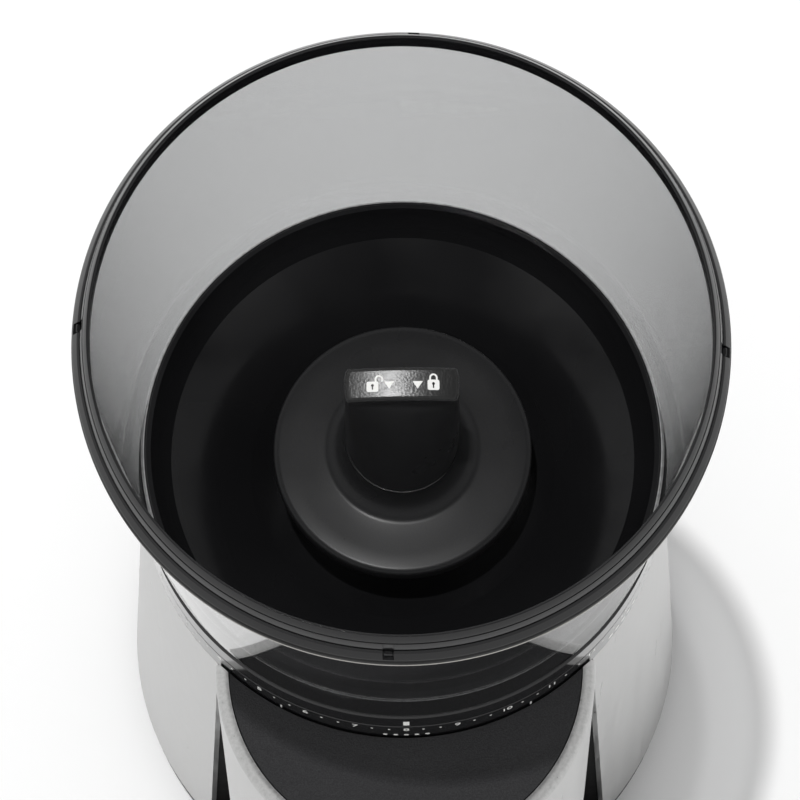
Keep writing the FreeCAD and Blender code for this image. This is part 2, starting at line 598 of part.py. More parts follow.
def head():
    low, radius, middle = size("head_low"), size("head_radius"), size("head_y")
    skin = size("head_skin")
    front = Part.makeBox(200, 140, 400, FreeCAD.Vector(-100, -140, 0))

    def head_block(outer, drop, bottom):
        reach = bar(outer, bottom, 300, 0, middle).fuse(block(-outer, outer, middle, -30, bottom, 300))
        return reach.common(under_cover(drop, bottom)).common(front)

    shell = head_block(radius, 0, low)
    top_edges = [edge for edge in shell.Edges
                 if min(vertex.Z for vertex in edge.Vertexes) > 250 and edge.BoundBox.YMin < middle - 5]
    side_edges = [edge for edge in shell.Edges
                  if min(vertex.Z for vertex in edge.Vertexes) > 250 and abs(edge.BoundBox.XLength) < 0.01
                  and edge.BoundBox.YLength > 10]
    shell = shell.makeFillet(size("head_round"), top_edges + side_edges)
    shell = shell.cut(head_block(radius - skin, skin, low - 1))
    opening = bar(size("cover_radius + 0.3"), low, 300, 0, middle)
    shell = shell.cut(opening.fuse(block(-46.6, 46.6, middle, -20, low, 300)))
    shell = shell.cut(behind_front(-0.8, 0, 300)).cut(bar(size("collar_radius + collar_gap"), 200, 300))
    dial_hole = Part.makeCylinder(size("pod_radius + 0.2"), 40, FreeCAD.Vector(0, -120, size("dial_z")),
                                  FreeCAD.Vector(0, 1, 0))
    formed("head_shell", shell.cut(dial_hole))

    cover = bar(size("cover_radius"), 200, 300, 0, middle).common(under_cover(0, 200))
    cover = cover.cut(under_cover(size("cover_thick"), 199))
    cover = cover.cut(bar(size("collar_radius + collar_gap"), 200, 300))
    formed("head_cover", cover)

    thick = size("liner_thick")
    floor = bar(radius - skin - 0.2, low, low + thick, 0, middle).cut(behind_front(0.4, 0, 300))
    ceiling = bar(size("bay_radius + liner_thick"), low, low + thick, 0, size("bay_y"))
    ceiling = ceiling.common(behind_front(-0.6, 0, 300))
    floor = floor.fuse(ceiling).cut(block(-15.4, 15.4, -74.4, -48.6, low - 1, low + 10))
    formed("head_floor", floor)


def bay_liner():
    low, high, roof = size("plate_top + 0.2"), 258.0, size("head_low")
    thick, middle, radius = size("liner_thick"), size("bay_y"), size("bay_radius")
    room = wrap_space(size("wrap_thick + 0.4"), low, high)
    panel = room.common(behind_front(0.6, low, high)).cut(behind_front(0.6 + thick, 0, 300))
    curve = bar(radius + thick, low, roof - 0.1, 0, middle)
    curve = curve.common(behind_front(0.6, 0, 300)).common(room)
    hollow = bar(radius, 0, roof + 5, 0, middle)
    head_way = block(-44, 44, -60, 0, roof - 0.1, 300)
    ceiling = bar(radius + thick + 0.2, roof - 0.1, roof + thick + 0.2, 0, middle)
    liner = panel.fuse(curve).cut([hollow, head_way, ceiling])
    formed("recess_liner", liner)


def base():
    low, top, floor = size("base_low"), size("tray_top"), size("tray_floor")
    shift, cup_y = size("wrap_shift"), size("cup_y")
    plate_low = size("plate_low")
    outer = bar(size("base_radius"), low, size("wrap_low - 0.3"), 0, shift)
    outer = outer.fuse(bar(size("tray_radius"), low, top, 0, shift - 0.4))
    outer = outer.fuse(bar(size("plate_radius"), low, plate_low - 0.1, 0, cup_y))
    rear_hollow = bar(size("tray_radius - 2.5"), low + floor, 40, 0, shift - 0.4)
    front_hollow = bar(size("plate_radius - 2.5"), low + floor, 40, 0, cup_y)
    tray = outer.cut(rear_hollow).cut(front_hollow)
    tray = tray.cut(bar(size("plate_radius + 2.5"), plate_low - 0.1, 40, 0, cup_y))
    tray = tray.cut([bar(1.7, 0, low + 5, x, y) for x, y in BASE_SCREWS])
    wrap_edge = wrap_space(-0.4, 9.6, 40).cut(wrap_space(size("wrap_thick + 0.4"), 9, 41))
    wrap_edge = wrap_edge.common(behind_front(-0.6, 0, 60))
    formed("base_tray", tray.cut(wrap_edge))

    plate = bar(size("plate_radius"), plate_low, size("plate_top"), 0, cup_y)
    plate = plate.cut(block(-90, 90, size("bay_y + bay_radius + 6"), 90, 0, 40))
    formed("cup_platform", plate.cut(wrap_edge))
    trim = bar(size("trim_radius"), low + 0.4, size("plate_top + 0.3"), 0, cup_y)
    trim = trim.cut(bar(size("plate_radius + 0.2"), 0, 40, 0, cup_y))
    trim = trim.cut(behind_front(-1.0, 0, 40))
    trim = trim.cut(bar(size("base_radius + 0.3"), 0, 40, 0, shift))
    formed("base_trim_ring", trim)

    feet = []
    for x, y in ((-54, 66), (54, 66), (-44, -90), (44, -90)):
        foot = bar(size("foot_radius"), 0, low, x, y)
        feet.append(foot.makeChamfer(0.8, [edge for edge in foot.Edges if edge.BoundBox.ZMax < 0.01]))
    formed("rubber_feet", Part.makeCompound(feet))
    screws("base_screws", [(x, y, low) for x, y in BASE_SCREWS], 1.6, 7.0, 3.0, 1.6, down=False)


def inner_frame():
    shelf_low, thick = size("shelf_low"), size("shelf_thick")
    shelf = bar(67, shelf_low, shelf_low + thick, 0, 6)
    shelf = shelf.cut(block(-80, 80, -90, -39.8, 200, 220)).cut(bar(14, 200, 220))
    shelf = shelf.cut(block(-16, 16, -60, -37.9, 200, 220))
    shelf = shelf.cut([bar(1.7, 200, 220, x, y) for x, y in GEARBOX_SCREWS])
    shelf = shelf.cut([bar(3.0, shelf_low + 1.1, 220, x, y) for x, y in GEARBOX_SCREWS])
    formed("chassis_shelf", shelf)
    floor_top = size("base_low + tray_floor")
    posts = [bar(size("post_radius"), floor_top, shelf_low, x, y) for x, y in
             ((-58, 2), (58, 2), (-36, 58), (36, 58))]
    formed("support_posts", Part.makeCompound(posts))

    turned("cord_gland", [
        ("3.6", "0"), ("5.2", "0"), ("5.2", "8.4"), ("7.5", "8.4"), ("7.5", "10"), ("3.6", "10")],
        y="97.5", z="30", turn=BACK)
    board = block(-51.6, -50, 12, 52, 50, 120)
    fittings = [bar(7, 60, 84, -43.2, 24), block(-50, -36, 34, 50, 58, 76), block(-50, -40, 18, 44, 96, 112)]
    formed("power_board", board.multiFuse(fittings))


# ---------------------------------------------------------------- controls on the front

def controls():
    def on_dial(label, corners):
        return turned(label, corners, y="dial_y", z="dial_z", turn=FORWARD)

    on_dial("dial_pod", [
        ("button_stem + 0.3", "-13"), ("pod_radius", "-13"), ("pod_radius", "-1"), ("pod_radius - 1", "0"),
        ("boss_radius", "0"), ("boss_radius", "8"), ("button_radius + 0.4", "8"),
        ("button_radius + 0.4", "-8"), ("button_stem + 0.3", "-8")])
    dial = on_dial("timer_dial", [
        ("boss_radius + 0.3", "0.5"), ("dial_radius", "0.5"), ("dial_radius", "9.4", "1.6", 1),
        ("dial_radius - 1.6", "11"), ("boss_radius + 1.3", "11"), ("boss_radius + 0.3", "10")])
    grip = ring(new_sketch(dial, "XY_Plane", "2"), "0.9", "dial_radius + 0.4", "0")
    repeat_round(dial, pocket(dial, grip, "12", up=True), 40)
    on_dial("start_button", [
        ("0", "-14"), ("button_stem", "-14"), ("button_stem", "3"), ("button_radius", "3"),
        ("button_radius", "8.7", "0.8", 1), ("button_radius - 0.8", "9.5"), ("0", "9.5")])

    folds = [("5.2", "-7.9"), ("7.6", "-5.2"), ("5.2", "-2.5"), ("7.6", "0.2"), ("5.2", "2.9")]
    inside = [(f"{outer} - 0.6", height) for outer, height in reversed(folds)]
    on_dial("button_spring", folds + inside)

    dial_y, dial_z = size("dial_y"), size("dial_z")
    formed("start_switch", block(-4, 4, dial_y + 17, dial_y + 22.2, dial_z - 4, dial_z + 4))
    board = block(-22, 22, dial_y + 22.4, dial_y + 24, dial_z - 26, dial_z + 26)
    chip = block(-16, -8, dial_y + 20.4, dial_y + 22.4, dial_z - 20, dial_z - 12)
    formed("control_board", board.fuse(chip))


# ---------------------------------------------------------------- grounds cup

def grounds_cup():
    turned("grounds_cup", [
        ("0", "cup_low"), ("cup_radius - 4", "cup_low", "4", 1), ("cup_radius", "cup_low + 4"),
        ("cup_radius + 0.8", "cup_top"), ("cup_radius + 0.8 - cup_wall", "cup_top"),
        ("cup_radius - cup_wall", "cup_low + 4.5"), ("cup_radius - 4", "cup_low + 1.6"),
        ("0", "cup_low + 1.6")], y="cup_y")
    turned("cup_lid", [
        ("cup_radius - 3.4", "cup_top - 6"), ("cup_radius - 1.2", "cup_top - 6"),
        ("cup_radius - 1.2", "cup_top + 0.3"), ("cup_radius + 1.0", "cup_top + 0.3"),
        ("cup_radius + 1.0", "cup_top + 2.6", "1", 1), ("cup_radius", "cup_top + 3.6"),
        ("22", "cup_top + 8"), ("20", "cup_top + 10"), ("17", "cup_top + 10"), ("17", "cup_top + 6"),
        ("cup_radius - 3.4", "cup_top + 1.4")], y="cup_y")


# ---------------------------------------------------------------- build, check and write

hopper()
hopper_lock()
adjustment()
grinding_space()
drive()
steel_wrap()
head()
bay_liner()
base()
inner_frame()
controls()
grounds_cup()
doc.recompute()

for item in doc.Objects:
    if {"Invalid", "Error"} & set(item.State):
        raise RuntimeError(f"{item.Label} failed: {item.State}")
    base_feature = getattr(item, "BaseFeature", None)
    if item.TypeId in ("PartDesign::Pocket", "PartDesign::SubtractiveLoft") and base_feature is not None:
        if item.Shape.Volume > base_feature.Shape.Volume - 0.01:
            raise RuntimeError(f"{item.Label} cuts nothing")

os.makedirs("parts", exist_ok=True)
nodes = [item for item in doc.Objects
         if item.TypeId in ("PartDesign::Body", "Part::Feature", "Part::Cut")]
for item in nodes:
    shape = item.Shape
    if shape.isNull() or not shape.isValid():
        raise RuntimeError(f"{item.Label} has no valid shape")
    shape.exportStep(f"parts/{item.Label}.step")
print(len(nodes), "nodes written")
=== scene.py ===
import json
import math
import bpy
from mathutils import Matrix, Vector


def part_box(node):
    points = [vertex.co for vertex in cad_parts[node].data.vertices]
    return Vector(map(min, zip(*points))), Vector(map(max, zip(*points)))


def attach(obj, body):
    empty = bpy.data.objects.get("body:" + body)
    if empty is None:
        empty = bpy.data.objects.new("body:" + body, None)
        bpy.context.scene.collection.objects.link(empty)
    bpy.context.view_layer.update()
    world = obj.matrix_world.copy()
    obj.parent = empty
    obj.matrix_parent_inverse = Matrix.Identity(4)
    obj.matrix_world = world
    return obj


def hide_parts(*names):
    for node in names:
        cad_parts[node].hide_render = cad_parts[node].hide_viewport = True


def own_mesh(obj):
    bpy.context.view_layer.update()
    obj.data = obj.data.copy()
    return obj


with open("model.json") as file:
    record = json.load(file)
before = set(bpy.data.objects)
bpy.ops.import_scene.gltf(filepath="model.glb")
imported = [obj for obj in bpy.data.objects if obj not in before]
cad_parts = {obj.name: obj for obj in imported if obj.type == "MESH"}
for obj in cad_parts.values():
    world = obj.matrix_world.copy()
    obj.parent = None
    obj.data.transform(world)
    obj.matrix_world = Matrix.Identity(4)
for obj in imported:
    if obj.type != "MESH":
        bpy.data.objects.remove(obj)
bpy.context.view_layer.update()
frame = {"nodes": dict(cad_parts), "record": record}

# Burr coffee grinder. The CAD nodes keep their places; this script gives them finished materials,
# replaces the rim, its clips, the clear wall, the lock knob and the button spring with finer meshes,
# and adds the lip under the rim, painted pale grey as the glow of its clear edge, and the printed marks.
# Lengths in the builders below are millimetres; metres() takes them about the hopper axis.

MM = 0.001
NODES = frame["nodes"]

# ---------------------------------------------------------------- places, read from the frame

def in_mm(node):
    """Lowest and highest corner of a CAD node, in millimetres."""
    low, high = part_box(node)
    return low / MM, high / MM


def half_width(node):
    """Half of a CAD node's size along X: the radius of a turned part."""
    low, high = in_mm(node)
    return (high.x - low.x) / 2


RIM_LOW, RIM_HIGH = in_mm("hopper_rim")
AXIS_Y = (RIM_LOW.y + RIM_HIGH.y) / 2
RIM_RADIUS = half_width("hopper_rim")
RIM_TOP = RIM_HIGH.z
WALL_LOW, WALL_HIGH = in_mm("hopper_wall")
COLLAR_LOW, COLLAR_HIGH = in_mm("scale_collar")
RING_HIGH = in_mm("hopper_base_ring")[1]
KNOB_LOW, KNOB_HIGH = in_mm("lock_knob")
KNOB_TOP = KNOB_HIGH.z
KNOB_RISE = 59.6  # from the knob's disc up to the top of its grip
DISC_RADIUS = half_width("lock_knob")
DISC_TOP = KNOB_TOP - KNOB_RISE
DIAL_LOW, DIAL_HIGH = in_mm("timer_dial")
HEAD_RADIUS = half_width("head_shell")
HEAD_Y = in_mm("head_cover")[0].y + half_width("head_cover") - AXIS_Y


def metres(x, y, z):
    """A point in millimetres about the hopper axis, in the row frame."""
    return Vector((x, y + AXIS_Y, z)) * MM


# ---------------------------------------------------------------- camera, floor and light

CAMERA_PITCH, CAMERA_ROLL = math.radians(73.24), -0.0135
CAMERA_SIDE, CAMERA_FRONT, CAMERA_ABOVE_RIM = -0.5, -476.2, 1523
FOCAL_LENGTH, SENSOR_WIDTH = 292.5, 36
VIEW_DEPTH = 20  # metres, as are the floor's size and the glint lamp's distance

KEY_DIRECTION = Vector((30, 1, -395))
KEY_ENERGY, KEY_ANGLE = 1.65, math.radians(1.3)
GLINT_ENERGY, GLINT_CONE, GLINT_SIZE, GLINT_DISTANCE = 190, math.radians(2.2), 0.06, 3
FLOOR_SIZE = 8

# Brightness of the tent by the upward part of the direction looked in, from level to overhead.
TENT = ((0.0, 0.90), (0.60, 0.98), (0.78, 0.85), (0.90, 0.22), (1.0, 0.10))
TENT_LEFT, TENT_RIGHT = 1.14, 0.86


def camera():
    """Looks steeply down on the hopper from in front, through a long lens."""
    forward = Vector((0, math.cos(CAMERA_PITCH), -math.sin(CAMERA_PITCH)))
    upward = Vector((0, math.sin(CAMERA_PITCH), math.cos(CAMERA_PITCH)))
    right = Vector((1, 0, 0))
    image_right = right * math.cos(CAMERA_ROLL) + upward * math.sin(CAMERA_ROLL)
    image_up = upward * math.cos(CAMERA_ROLL) - right * math.sin(CAMERA_ROLL)
    lens = bpy.data.cameras.new("camera")
    lens.lens = FOCAL_LENGTH
    lens.sensor_width = SENSOR_WIDTH
    lens.clip_end = VIEW_DEPTH
    holder = bpy.data.objects.new("camera", lens)
    bpy.context.scene.collection.objects.link(holder)
    turn = Matrix((image_right, image_up, -forward)).transposed().to_4x4()
    place = metres(CAMERA_SIDE, CAMERA_FRONT, RIM_TOP + CAMERA_ABOVE_RIM)
    holder.matrix_world = Matrix.Translation(place) @ turn
    bpy.context.scene.camera = holder


def glint(name, travel):
    """A narrow lamp, seen only in reflections, that shines along travel onto the lock knob."""
    spot_lamp = bpy.data.lights.new(name, "SPOT")
    spot_lamp.energy = GLINT_ENERGY
    spot_lamp.spot_size = GLINT_CONE
    spot_lamp.spot_blend = 0.5
    spot_lamp.shadow_soft_size = GLINT_SIZE
    holder = bpy.data.objects.new(name, spot_lamp)
    holder.visible_diffuse = False
    bpy.context.scene.collection.objects.link(holder)
    knob_middle = metres(0, 0, (DISC_TOP + KNOB_TOP) / 2)
    holder.location = knob_middle - travel.normalized() * GLINT_DISTANCE
    holder.rotation_euler = travel.to_track_quat("-Z", "Y").to_euler()


def studio():
    """A bright tent, dark straight overhead and brighter on the left. The key lamp almost above the
    hopper casts the shadow but is not reflected; a narrow lamp puts the only glint on the knob."""
    scene = bpy.context.scene
    scene.view_settings.view_transform = "Standard"
    world = bpy.data.worlds.new("studio")
    world.use_nodes = True
    nodes, links = world.node_tree.nodes, world.node_tree.links
    direction = nodes.new("ShaderNodeTexCoord")
    split = nodes.new("ShaderNodeSeparateXYZ")
    ramp = nodes.new("ShaderNodeValToRGB")
    links.new(direction.outputs["Generated"], split.inputs[0])
    links.new(split.outputs["Z"], ramp.inputs[0])
    for number, (height, grey) in enumerate(TENT):
        stops = ramp.color_ramp.elements
        stop = stops[number] if number < 2 else stops.new(height)
        stop.position = height
        stop.color = (grey, grey, grey, 1)
    links.new(ramp.outputs[0], nodes["Background"].inputs[0])
    side = nodes.new("ShaderNodeMapRange")
    side.inputs["From Min"].default_value = -1.0
    side.inputs["To Min"].default_value = TENT_LEFT
    side.inputs["To Max"].default_value = TENT_RIGHT
    links.new(split.outputs["X"], side.inputs["Value"])
    links.new(side.outputs[0], nodes["Background"].inputs["Strength"])
    scene.world = world

    sun = bpy.data.lights.new("key", "SUN")
    sun.energy = KEY_ENERGY
    sun.angle = KEY_ANGLE
    holder = bpy.data.objects.new("key", sun)
    holder.visible_glossy = False
    scene.collection.objects.link(holder)
    holder.rotation_euler = KEY_DIRECTION.to_track_quat("-Z", "Y").to_euler()

    glint("top_glint", KEY_DIRECTION)

    bpy.ops.mesh.primitive_plane_add(size=FLOOR_SIZE, location=(0, 0, 0))
    floor = bpy.context.object
    floor.name = "floor"
    floor.data.materials.append(plain("floor_white", (0.88, 0.88, 0.88), 0.9))


# ---------------------------------------------------------------- material helpers

def plain(name, colour, rough, metallic=0.0, shine=0.5):
    material = bpy.data.materials.new(name)
    material.use_nodes = True
    shader = material.node_tree.nodes["Principled BSDF"]
    shader.inputs["Base Color"].default_value = (*colour, 1)
    shader.inputs["Roughness"].default_value = rough
    shader.inputs["Metallic"].default_value = metallic
    shader.inputs["Specular IOR Level"].default_value = shine
    return material


def add_nodes(material, *kinds):
    return [material.node_tree.nodes.new("ShaderNode" + kind) for kind in kinds]


def noise(material, scale, detail=3.0, stretch=(1, 1, 1), rough=0.5):
    """A noise texture in object space, scale in cycles a metre; returns its value socket."""
    place, mapping, texture = add_nodes(material, "TexCoord", "Mapping", "TexNoise")
    links = material.node_tree.links
    links.new(place.outputs["Object"], mapping.inputs["Vector"])
    mapping.inputs["Scale"].default_value = stretch
    links.new(mapping.outputs[0], texture.inputs["Vector"])
    texture.inputs["Scale"].default_value = scale
    texture.inputs["Detail"].default_value = detail
    texture.inputs["Roughness"].default_value = rough
    return texture.outputs[0]


def spread(material, socket, low, high, start=0.0, end=1.0):
    """Maps the span from start to end onto low to high."""
    scale = add_nodes(material, "MapRange")[0]
    material.node_tree.links.new(socket, scale.inputs["Value"])
    scale.inputs["From Min"].default_value = start
    scale.inputs["From Max"].default_value = end
    scale.inputs["To Min"].default_value = low
    scale.inputs["To Max"].default_value = high
    return scale.outputs[0]


def shader_input(material, name):
    return material.node_tree.nodes["Principled BSDF"].inputs[name]


def tint(material, socket, dark, light, start=0.3, end=0.7):
    """Colours the surface between two colours by a value."""
    ramp = add_nodes(material, "ValToRGB")[0]
    ramp.color_ramp.elements[0].position = start
    ramp.color_ramp.elements[0].color = (*dark, 1)
    ramp.color_ramp.elements[1].position = end
    ramp.color_ramp.elements[1].color = (*light, 1)
    links = material.node_tree.links
    links.new(socket, ramp.inputs[0])
    links.new(ramp.outputs[0], shader_input(material, "Base Color"))


def bumped(material, socket, strength, distance):
    bump = add_nodes(material, "Bump")[0]
    bump.inputs["Strength"].default_value = strength
    bump.inputs["Distance"].default_value = distance
    links = material.node_tree.links
    links.new(socket, bump.inputs["Height"])
    links.new(bump.outputs[0], shader_input(material, "Normal"))


def rough_from(material, socket, low, high, start=0.3, end=0.7):
    value = spread(material, socket, low, high, start, end)
    material.node_tree.links.new(value, shader_input(material, "Roughness"))


# ---------------------------------------------------------------- materials

def gloss_plastic(name, colour, rough=0.12, shine=0.5):
    """Polished moulding: faint ripples and small changes of gloss."""
    material = plain(name, colour, rough, shine=shine)
    tint(material, noise(material, 14, 2), colour, tuple(value * 1.35 + 0.002 for value in colour))
    rough_from(material, noise(material, 60, 4), rough * 0.7, rough * 1.5)
    bumped(material, noise(material, 260, 2), 0.04, 0.0002)
    return material


def grain_plastic(name, colour, rough=0.5, scale=2600, strength=0.25, shine=0.5, speck=1.6, depth=0.0004):
    """Moulded texture: a fine spark-eroded grain."""
    material = plain(name, colour, rough, shine=shine)
    grain = noise(material, scale, 2)
    tint(material, grain, colour, tuple(value * speck + 0.004 for value in colour), 0.35, 0.75)
    rough_from(material, noise(material, 40, 3), rough * 0.85, rough * 1.15)
    bumped(material, grain, strength, depth)
    return material


def brushed_metal(name, colour, rough, stretch, scale=900, strength=0.10, contrast=0.86):
    """Brushed sheet: streaks run along the axis whose stretch is small."""
    material = plain(name, colour, rough, metallic=1.0)
    streaks = noise(material, scale, 4, stretch, 0.7)
    tint(material, streaks, tuple(value * contrast for value in colour), colour, 0.25, 0.7)
    rough_from(material, streaks, rough * 0.8, rough * 1.25)
    bumped(material, streaks, strength, 0.0002)
    return material


def smoke_clear(name):
    """Grey clear plastic: passes tinted light, and mirrors more the flatter it is seen."""
    material = plain(name, (0.02, 0.02, 0.021), 0.03)
    nodes, links = material.node_tree.nodes, material.node_tree.links
    clear, mix, facing, power = add_nodes(material, "BsdfTransparent", "MixShader", "LayerWeight", "Math")
    clear.inputs[0].default_value = (0.755, 0.758, 0.76, 1)
    facing.inputs["Blend"].default_value = 0.5
    power.operation = "POWER"
    power.inputs[1].default_value = 5.0
    links.new(facing.outputs["Facing"], power.inputs[0])
    links.new(spread(material, power.outputs[0], 0.045, 1.0), mix.inputs[0])
    links.new(clear.outputs[0], mix.inputs[1])
    links.new(nodes["Principled BSDF"].outputs[0], mix.inputs[2])
    links.new(mix.outputs[0], nodes["Material Output"].inputs["Surface"])
    shader_input(material, "Metallic").default_value = 1.0
    shader_input(material, "Base Color").default_value = (0.92, 0.92, 0.92, 1)
    return material


def make_materials():
    """One finish for each material slot, and the finer ones that only this script uses."""
    return {
        "gloss_black": gloss_plastic("gloss_black", (0.005, 0.005, 0.0055), 0.10),
        "satin_black": grain_plastic("satin_black", (0.008, 0.008, 0.0085), 0.30, 5200, 0.5, 0.26,
                                     depth=0.00001),
        "textured_black": grain_plastic("textured_black", (0.012, 0.012, 0.013), 0.50, 2600, 0.4, 0.4, 2.2),
        "smoke_clear": smoke_clear("smoke_clear"),
        "steel_brushed": brushed_metal("steel_brushed", (0.50, 0.50, 0.495), 0.34, (1, 1, 0.012),
                                       contrast=0.72),
        "steel_polished": brushed_metal("steel_polished", (0.66, 0.66, 0.67), 0.12, (0.1, 0.1, 1), 500, 0.02),
        "burr_steel": brushed_metal("burr_steel", (0.45, 0.45, 0.46), 0.28, (1, 1, 1), 1500, 0.08),
        "machine_steel": brushed_metal("machine_steel", (0.5, 0.5, 0.51), 0.25, (1, 1, 8), 700, 0.08),
        "motor_steel": brushed_metal("motor_steel", (0.42, 0.43, 0.44), 0.4, (1, 1, 0.2), 500, 0.05),
        "grey_plastic": grain_plastic("grey_plastic", (0.09, 0.09, 0.095), 0.5),
        "gear_plastic": grain_plastic("gear_plastic", (0.62, 0.6, 0.55), 0.4, 1800, 0.1),
        "brass": brushed_metal("brass", (0.72, 0.53, 0.25), 0.25, (1, 1, 6), 700, 0.06),
        "magnet": grain_plastic("magnet", (0.03, 0.03, 0.033), 0.6),
        "copper_laminate": brushed_metal("copper_laminate", (0.42, 0.2, 0.1), 0.4, (1, 1, 30), 900, 0.3),
        "rubber": grain_plastic("rubber", (0.014, 0.014, 0.014), 0.8, 1500, 0.3),
        "silicone": grain_plastic("silicone", (0.20, 0.20, 0.20), 0.6, 900, 0.1, 0.2),
        "bowl_black": gloss_plastic("bowl_black", (0.006, 0.006, 0.0065), 0.16, 0.26),
        "rim_black": gloss_plastic("rim_black", (0.004, 0.004, 0.0045), 0.18, 0.30),
        "liner_black": grain_plastic("liner_black", (0.004, 0.004, 0.004), 0.6, 2600, 0.2, 0.05),
        "handle_top_black": grain_plastic("handle_top_black", (0.004, 0.004, 0.004), 0.27, 1700, 0.5,
                                          depth=0.00008),
        # Painted shade: a dull black that hardly reflects, for the rim's shadowed lower side.
        "rim_painted_shade_black": grain_plastic("rim_painted_shade_black", (0.004, 0.004, 0.004), 0.5, 2600, 0.1, 0.06),
        # Painted glow: a pale opaque grey for light carried through the clear wall's edge.
        "wall_lip_painted_glow_grey": gloss_plastic("wall_lip_painted_glow_grey", (0.30, 0.29, 0.27), 0.2),
        "board_green": gloss_plastic("board_green", (0.01, 0.09, 0.03), 0.3),
        "print_white": grain_plastic("print_white", (0.80, 0.80, 0.78), 0.5, 3000, 0.05, 0.5, 1.05),
    }


# ---------------------------------------------------------------- mesh helpers

def make_piece(name, verts, faces, material, body, slot, edge_angle=35):
    """A smooth-shaded mesh object from row-frame points, riding on a body."""
    mesh = bpy.data.meshes.new(name)
    mesh.from_pydata([tuple(point) for point in verts], [], faces)
    mesh.update()
    mesh.shade_smooth()
    mesh.set_sharp_from_angle(angle=math.radians(edge_angle))
    piece = bpy.data.objects.new(name, mesh)
    bpy.context.scene.collection.objects.link(piece)
    mesh.materials.append(material)
    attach(piece, body)
    return piece


def rounded(profile, radius, steps=4):
    """A closed outline with its corners rounded; a corner is (r, z) or (r, z, own radius)."""
    result = []
    count = len(profile)
    for number, corner in enumerate(profile):
        here = Vector(corner[:2])
        before = Vector(profile[number - 1][:2]) - here
        after = Vector(profile[(number + 1) % count][:2]) - here
        size = corner[2] if len(corner) > 2 else radius
        angle = before.angle(after)
        reach = min(size / math.tan(angle / 2), before.length * 0.45, after.length * 0.45)
        if size == 0 or angle > math.radians(176):
            result.append(here)
            continue
        start, end = here + before.normalized() * reach, here + after.normalized() * reach
        for step in range(steps + 1):
            share = step / steps
            result.append(start * (1 - share) ** 2 + here * 2 * share * (1 - share) + end * share ** 2)
    return result


def ring_faces(rows, count):
    """Quads between neighbouring rings of vertex numbers."""
    faces = []
    for low, high in zip(rows, rows[1:]):
        for step in range(count):
            following = (step + 1) % count
            faces.append((low[step], low[following], high[following], high[step]))
    return faces


def lathe(name, profile, material, body, slot, segments=256, shape=None, extra=()):
    """A closed (radius, height) outline turned about the hopper axis; shape may move single points."""
    turns = sorted([2 * math.pi * step / segments for step in range(segments)] + list(extra))
    verts, rows = [], []
    for radius, height in profile:
        rows.append(range(len(verts), len(verts) + len(turns)))
        for turn in turns:
            r, z = shape(radius, height, turn) if shape else (radius, height)
            verts.append(metres(r * math.cos(turn), r * math.sin(turn), z))
    return make_piece(name, verts, ring_faces([*rows, rows[0]], len(turns)), material, body, slot)


# ---------------------------------------------------------------- hopper

SNAP_TURNS = [math.radians(90 * quarter - 3) for quarter in range(4)]
SNAP_HALF, TAB_HALF = 1.35, 1.15
SNAP_INNER, SNAP_OUTER = 79.0, 80.4
HIGH_GROOVE, LOW_GROOVE, RIDGE = 78.25, 79.0, 80.0
WALL_THICK, LIP_WIDTH = 2.4, 1.4
RIM_FOOT = RIM_LOW.z
RIM_INNER = RIM_RADIUS - 4.8
SHOULDER_Z = RIM_FOOT + 3.4
SNAP_FLOOR = SHOULDER_Z + 1.2
LIP_TOP = RIM_FOOT + 0.7


def snap_notch(radius, height, turn):
    """Sinks the rim's sloping side where a snap tab sits."""
    near = min(abs(math.remainder(turn - snap, 2 * math.pi)) for snap in SNAP_TURNS)
    if near * RIM_RADIUS < SNAP_HALF and SNAP_INNER < radius < SNAP_OUTER and height > SNAP_FLOOR:
        return radius, SNAP_FLOOR
    return radius, height


def rim():
    """A raised seat for the lid falls in three bands, with fine grooves between them, to a round ridge."""
    top, outer, inner = RIM_TOP, RIM_RADIUS, RIM_INNER
    cap_low = WALL_HIGH.z
    profile = rounded([
        (inner, cap_low, 0), (inner, top - 0.4, 0.3), (inner + 0.6, top, 0.4),
        (HIGH_GROOVE + 0.2, top - 2.5, 0.5), (HIGH_GROOVE, top - 2.8, 0.05),
        (HIGH_GROOVE + 0.2, top - 3.05, 0.05), (HIGH_GROOVE + 0.35, top - 2.9, 0.1),
        (LOW_GROOVE + 0.25, top - 5.4, 0.2), (LOW_GROOVE, top - 5.8, 0.05),
        (LOW_GROOVE + 0.2, top - 6.1, 0.05), (LOW_GROOVE + 0.4, top - 5.9, 0.1),
        (RIDGE, top - 6.4, 0.6), (RIDGE + 1.2, SHOULDER_Z + 1.0, 1.5), (outer, SHOULDER_Z - 0.3, 0.5),
        (outer, RIM_FOOT + 1.6, 0), (outer - 0.25, LIP_TOP, 0), (RIDGE - 0.2, LIP_TOP, 0),
        (RIDGE - 0.2, cap_low, 0)], 0.1)
    edges = [snap + side * half / RIM_RADIUS for snap in SNAP_TURNS
             for side in (-1, 1) for half in (SNAP_HALF - 0.02, SNAP_HALF + 0.1)]
    piece = lathe("rim_ring", profile, MATERIALS["rim_black"], "hopper", "gloss_black", 360,
                  snap_notch, [edge % (2 * math.pi) for edge in edges])
    # The rim's lower side, below the shoulder, takes a dull black that hardly reflects: painted shade for the
    # shadowed gap under the rim's cap.
    piece.data.materials.append(MATERIALS["rim_painted_shade_black"])
    for polygon in piece.data.polygons:
        if polygon.center.z < (SHOULDER_Z + 0.6) * MM:
            polygon.material_index = 1
    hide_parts("hopper_rim")


def wall_lip():
    """The clear wall's own turned-out edge under the rim, in an opaque pale grey: painted glow of light
    carried through the clear edge.
    """
    outer, low = RIM_RADIUS - 0.1, RIM_FOOT
    profile = rounded([(outer - LIP_WIDTH, low, 0), (outer, low, 0.2), (outer, LIP_TOP, 0.3),
                       (outer - LIP_WIDTH, LIP_TOP, 0)], 0.2)
    lathe("wall_lip_ring", profile, MATERIALS["wall_lip_painted_glow_grey"], "hopper", "smoke_clear")


